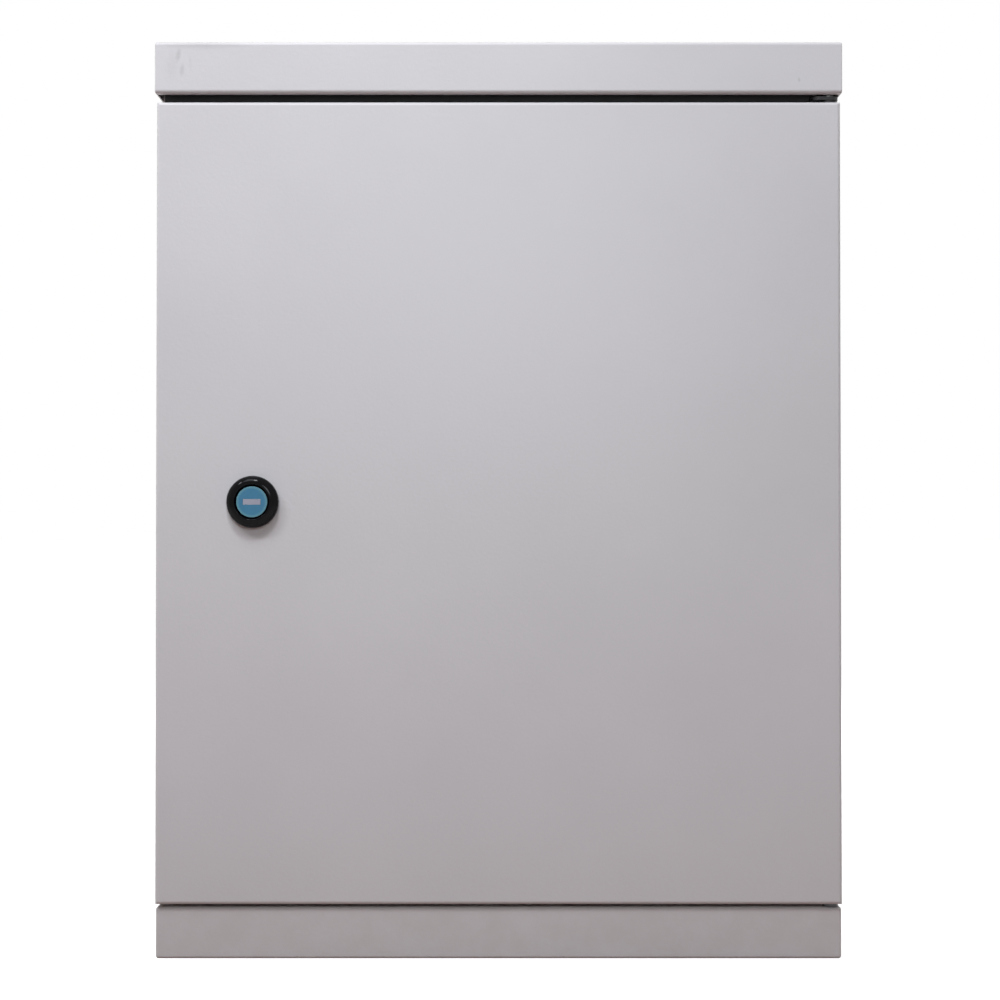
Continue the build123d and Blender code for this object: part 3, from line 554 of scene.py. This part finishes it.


# Roof canopy. One folded sheet with a deep front skirt and welded ends, coated, dusty on top,
# scuffed at its left front corner and darker in a wide soft band along the skirt's top edge there.
SCUFF_GREY = (0.34, 0.335, 0.325, 1.0)
SCUFF_STIR = 0.003
SCUFF_FADE = (1.3, 0.1)  # from a mark's edge to its core, in half sizes
ANY_DEPTH = 1000.0  # a scuff's reach along Y, so that depth doesn't count
SCUFFS = (
    # across, up, half width, half height, lean, strength
    (-0.2796, 0.7880, 0.0026, 0.0074, 0.22, 0.40),
    (-0.2762, 0.7752, 0.0024, 0.0062, 0.12, 0.34),
    (-0.2690, 0.7815, 0.0016, 0.0080, -0.10, 0.12),
    (-0.2850, 0.7790, 0.0060, 0.0140, 0.05, 0.12),
    # wide soft darker band along the skirt's top edge at its left end
    (-0.2600, 0.7980, 0.0420, 0.0052, 0.00, 0.34),
    (0.2622, 0.7663, 0.0010, 0.0024, 0.00, 0.40),
)
roof_paint = coated_steel("roof_paint", PAINT_GREY, foot_dust_and_shade=0.0, top_dust=0.75)
tree = roof_paint.node_tree
place = surface(tree)
ragged = noise(tree, place, scale=420.0, detail=4.0, roughness=0.7)["Color"]
stirred = vector_maths(tree, "MULTIPLY_ADD", ragged, (SCUFF_STIR, 0.0, SCUFF_STIR), place)["Vector"]
scuffed = 0.0
for across, up, half_width, half_height, lean, strength in SCUFFS:
    local = put(
        tree,
        "ShaderNodeMapping",
        {
            "Vector": stirred,
            "Location": (across + SCUFF_STIR / 2, 0.0, up + SCUFF_STIR / 2),
            "Rotation": (0.0, lean, 0.0),
            "Scale": (half_width, ANY_DEPTH, half_height),
        },
        vector_type="TEXTURE",
    )
    reach = vector_maths(tree, "LENGTH", local.outputs["Vector"])["Value"]
    mark = spread(tree, reach, SCUFF_FADE, (0.0, strength), "SMOOTHSTEP")
    scuffed = maths(tree, "MAXIMUM", scuffed, mark)
shader = tree.nodes["Principled BSDF"]
clean = shader.inputs["Base Color"].links[0].from_socket
wire(tree, mixed(tree, scuffed, clean, SCUFF_GREY), shader, "Base Color")
dress(roof_paint, "roof_canopy")


# Upper hinge bracket, its two screws and the two hinge pins. The bracket is a steel angle coated black, as
# painted shade where it shows at the end of the gap under the roof;
# the pins are plated steel: one drops through the bracket, one is welded into the plinth.
# Black that paints the shade of the gap under the roof over the bracket.
BRACKET_SHADE_BLACK = (0.016, 0.016, 0.018, 1.0)
BRACKET_PEEL = 0.0002
bracket_shade_paint = coated_steel(
    "bracket_shade_paint", BRACKET_SHADE_BLACK, foot_dust_and_shade=0.0, top_dust=0.02, peel_depth=BRACKET_PEEL
)
dress(bracket_shade_paint, "hinge_bracket")
dress(zinc, "bracket_screws", "upper_hinge_pin", "lower_hinge_pin")


# Door. A tray of 1.5 mm sheet folded back all round and in again at its rim, its square corners
# welded and ground before coating; it turns on two moulded nylon bushes.
dress(coated_steel("door_paint", PAINT_GREY, foot_dust_and_shade=0.12, top_dust=0.10), "door_panel")
nylon = moulded(
    "black_nylon",
    (0.030, 0.030, 0.031, 1.0),
    (0.014, 0.014, 0.015, 1.0),
    dull=0.5,
    cell_scale=1200.0,
    cell_depth=0.00005,
)
dress(nylon, "upper_hinge_bush", "lower_hinge_bush")


# Door gasket. A loop of polyurethane foam poured on the inside of the door, which the lip of the
# frame presses into; its skin is matt with fine open cells.
foam = moulded(
    "grey_foam",
    (0.075, 0.075, 0.078, 1.0),
    (0.035, 0.035, 0.037, 1.0),
    dull=0.9,
    cell_scale=1400.0,
    cell_depth=0.0004,
)
dress(foam, "door_gasket")


# Door stiffeners. Two upright hat sections of folded sheet, spot-welded through their feet to the
# inside of the door and coated with it; each weld leaves a shallow dish in a raised ring.
BACK = -FRONT
SHEET = 0.0015
FOOT_WIDTH = 0.015
WELD_LINE_SHARE = 0.45
WELDS_IN_LINE = 10
WELD_MARGIN = 0.02
WELD_RADIUS = 0.0034
WELD_SLOPE = 0.0006
WELD_CREST = 0.0005
WELD_RISE = 0.0002
WELD_DISH = 0.00017
WELD_SEGMENTS = 24
stiffener_paint = coated_steel("stiffener_paint", PAINT_GREY, foot_dust_and_shade=0.0, top_dust=0.10)
dress(stiffener_paint, "door_stiffener_left", "door_stiffener_right")


def weld_ring():
    """Mark of one spot weld along +Z, with the lower half of its height sunk in the sheet."""
    bm = bmesh.new()
    bmesh.ops.create_cone(
        bm,
        cap_ends=True,
        segments=WELD_SEGMENTS,
        radius1=WELD_RADIUS,
        radius2=WELD_RADIUS - WELD_SLOPE,
        depth=2 * WELD_RISE,
    )
    bm.normal_update()
    top = [face for face in bm.faces if face.normal.z > LEVEL_FACE]
    bmesh.ops.inset_region(bm, faces=top, thickness=WELD_CREST)
    bmesh.ops.inset_region(bm, faces=top, thickness=WELD_SLOPE, depth=-WELD_DISH)
    return bm


welds = bmesh.new()
for name in ("door_stiffener_left", "door_stiffener_right"):
    low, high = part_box(name)
    inset = WELD_LINE_SHARE * FOOT_WIDTH
    gap = (high.z - low.z - 2 * WELD_MARGIN) / (WELDS_IN_LINE - 1)
    for across in (low.x + inset, high.x - inset):
        for step in range(WELDS_IN_LINE):
            seat = Vector((across, low.y + SHEET, low.z + WELD_MARGIN + step * gap))
            add_shape(welds, weld_ring(), seat, BACK)
make_piece("stiffener_welds", welds, stiffener_paint, "door", "paint")


# Earth stud on the door. A smaller brass stud welded to the inside of the panel near its lower hinge
# corner, with a plated washer and nut.
dress(zinc, "door_earth_washer")
make_earth_stud("door_earth_stud", M6, BACK, "door")
make_nuts("door_earth_nut", M6, BACK, "door")


# Lock. A domed housing moulded in glossy black over a rubber seal, held by a nut inside the door.
# In its recess turns a plated core with a blue face disc, whose keyway is closed by a pale grey
# shutter; behind the door a bolt holds the plated cam on it.
LOCK_BLACK = (0.001, 0.001, 0.0015, 1.0)
LOCK_DUST = (0.004, 0.004, 0.005, 1.0)
LOCK_FILM = (0.35, 0.75)  # where the dust film starts, and where it is full
LOCK_ROUGHNESS = (0.06, 0.14)
LOCK_SPECULAR = 0.09
DISC_BLUE = (0.020, 0.140, 0.250, 1.0)
DISC_PALE_BLUE = (0.031, 0.176, 0.300, 1.0)
DISC_RIM_HIGHLIGHT_BLUE = (0.085, 0.250, 0.310, 1.0)
DISC_HIGHLIGHT_RIM = (0.0105, 0.0132)
DISC_ROUGHNESS = 0.35


def glossy_black(name):
    """Gloss black moulding under a thin uneven film of dust."""
    material, tree, shader = new_material(name)
    film = noise(tree, surface(tree), scale=220.0, detail=5.0, roughness=0.65)["Fac"]
    shader.inputs["Specular IOR Level"].default_value = LOCK_SPECULAR
    wire(tree, mixed(tree, film, LOCK_BLACK, LOCK_DUST), shader, "Base Color")
    wire(tree, spread(tree, film, LOCK_FILM, LOCK_ROUGHNESS), shader, "Roughness")
    return material


def face_blue(name):
    """Blue disc of slightly uneven colour, with a paler, greener ring painted at its rim as the highlight
    of its chamfer.
    """
    material, tree, shader = new_material(name)
    low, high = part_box("lock_face")
    centred = put(tree, "ShaderNodeMapping", {"Vector": surface(tree), "Location": -(low + high) / 2})
    place = centred.outputs["Vector"]
    flat = vector_maths(tree, "MULTIPLY", place, (1.0, 0.0, 1.0))["Vector"]
    reach = vector_maths(tree, "LENGTH", flat)["Value"]
    # Painted highlight: a paler, greener ring where the disc's chamfered rim catches the light.
    rim = spread(tree, reach, DISC_HIGHLIGHT_RIM, (0.0, 1.0), "SMOOTHSTEP")
    film = noise(tree, place, scale=180.0, detail=4.0)["Fac"]
    blue = mixed(tree, film, DISC_BLUE, DISC_PALE_BLUE)
    shader.inputs["Roughness"].default_value = DISC_ROUGHNESS
    wire(tree, mixed(tree, rim, blue, DISC_RIM_HIGHLIGHT_BLUE), shader, "Base Color")
    return material


shutter_grey = moulded(
    "keyway_grey",
    (0.35, 0.36, 0.43, 1.0),
    (0.27, 0.275, 0.345, 1.0),
    dull=0.55,
    cell_scale=1500.0,
    cell_depth=0.00003,
)
dress(glossy_black("lock_black"), "lock_housing")
dress(rubber, "lock_seal")
dress(face_blue("lock_face_blue"), "lock_face")
dress(shutter_grey, "keyway_insert")
dress(zinc, "lock_nut", "lock_core", "lock_cam", "cam_washer")
make_bolts("cam_bolt", M6, BACK, "lock")


# Floor. A plain pale studio floor that reaches to the horizon; the camera sees it white with the
# cabinet's shadow on it, and the cabinet gets a weak warm bounce from it.
FLOOR_REACH = 60.0
FLOOR_PALE = (0.80, 0.80, 0.80, 1.0)
FLOOR_BOUNCE = (0.26, 0.155, 0.13, 1.0)
FLOOR_FADE = (0.6, 2.2)  # how far out the shadows start to pale, and where all is white
FLOOR_GLOW = (0.62, 1.0)
WHITE = (1.0, 1.0, 1.0, 1.0)
floor_mesh = bpy.data.meshes.new("floor")
bm = bmesh.new()
bmesh.ops.create_grid(bm, x_segments=1, y_segments=1, size=FLOOR_REACH)
bm.to_mesh(floor_mesh)
bm.free()
floor = bpy.data.objects.new("floor", floor_mesh)
bpy.context.scene.collection.objects.link(floor)


def seen_rays(tree):
    """1 for rays from the camera, off gloss or through glass, 0 for light that falls on the cabinet."""
    path = put(tree, "ShaderNodeLightPath", {}).outputs
    seen = path["Is Camera Ray"]
    for ray in ("Is Glossy Ray", "Is Transmission Ray"):
        seen = maths(tree, "MAXIMUM", seen, path[ray])
    return seen


floor_paint = bpy.data.materials.new("floor_paint")
floor_paint.use_nodes = True
tree = floor_paint.node_tree
tree.nodes.remove(tree.nodes["Principled BSDF"])
away = vector_maths(tree, "LENGTH", surface(tree))["Value"]
pale = spread(tree, away, FLOOR_FADE, FLOOR_GLOW)
bounce = put(tree, "ShaderNodeBsdfDiffuse", {"Color": FLOOR_BOUNCE})
white = put(tree, "ShaderNodeBsdfDiffuse", {"Color": FLOOR_PALE})
glow = put(tree, "ShaderNodeEmission", {"Color": WHITE, "Strength": pale})
lit = put(tree, "ShaderNodeAddShader", {0: white.outputs[0], 1: glow.outputs[0]})
both = put(tree, "ShaderNodeMixShader", {0: seen_rays(tree), 1: bounce.outputs[0], 2: lit.outputs[0]})
wire(tree, both.outputs[0], tree.nodes["Material Output"], "Surface")
floor_mesh.materials.append(floor_paint)


# Studio light. A large soft lamp high in front with two smaller ones beside it and a weak fill, then
# one lamp on each flank and one behind that leave no glare on the roof, in a dim surround that the
# camera and reflections see as white.
DOOR_MIDDLE = (0.0, -0.146, 0.45)
DOOR_UPPER = (0.0, -0.146, 0.50)
BODY_MIDDLE = (0.0, 0.0, 0.45)
BACK_WALL = (0.0, 0.1, 0.40)
COOL = (0.94, 0.95, 1.0)
COLD = (0.88, 0.95, 1.0)
WARM = (1.0, 0.97, 0.95)
NEUTRAL = (0.97, 0.98, 1.0)
SURROUND = (0.05, 1.0)  # strength for light on the cabinet, and for what is seen


def lamp(name, place, aim, size, watts, colour, glare=True):
    """Square soft lamp at a place, turned to its aim; without glare, gloss doesn't mirror it."""
    light = bpy.data.lights.new(name, "AREA")
    light.shape = "SQUARE"
    light.size = size
    light.energy = watts
    light.color = colour
    holder = bpy.data.objects.new(name, light)
    holder.location = place
    holder.rotation_euler = (Vector(aim) - Vector(place)).to_track_quat("-Z", "Y").to_euler()
    holder.visible_glossy = glare
    bpy.context.scene.collection.objects.link(holder)


lamp("key_lamp", (-0.50, -1.32, 2.05), DOOR_MIDDLE, size=1.00, watts=19.6, colour=COOL)
lamp("upper_lamp", (-0.17, -1.32, 2.05), DOOR_MIDDLE, size=0.22, watts=11.6, colour=COOL)
lamp("side_lamp", (-1.22, -1.15, 1.70), DOOR_MIDDLE, size=0.20, watts=7.4, colour=COOL)
lamp("fill_lamp", (0.0, -1.30, 0.70), DOOR_UPPER, size=0.25, watts=2.7, colour=COLD)
lamp("left_lamp", (-1.45, 0.0, 1.70), BODY_MIDDLE, size=0.30, watts=12.0, colour=WARM, glare=False)
lamp("right_lamp", (1.45, 0.0, 1.40), BODY_MIDDLE, size=0.30, watts=9.0, colour=NEUTRAL, glare=False)
lamp("rear_lamp", (1.10, 1.80, 1.60), BACK_WALL, size=0.90, watts=28.0, colour=NEUTRAL, glare=False)
world = bpy.data.worlds.new("surround")
bpy.context.scene.world = world
world.use_nodes = True
tree = world.node_tree
back = tree.nodes["Background"]
back.inputs["Color"].default_value = WHITE
wire(tree, spread(tree, seen_rays(tree), (0.0, 1.0), SURROUND), back, "Strength")


# Camera. Square on to the door from a little under half the cabinet's height and some six times its
# depth away, so that the roof's front skirt is seen from just below; tipped up slightly to frame it.
camera = bpy.data.cameras.new("camera")
camera.sensor_width = 36.0
camera.lens = 70.2
view = bpy.data.objects.new("camera", camera)
view.location = (0.0013, -1.846, 0.3745)
view.rotation_euler = (math.radians(90.85), 0.0, 0.0)
bpy.context.scene.collection.objects.link(view)
bpy.context.scene.camera = view
bpy.context.scene.view_settings.view_transform = "Standard"
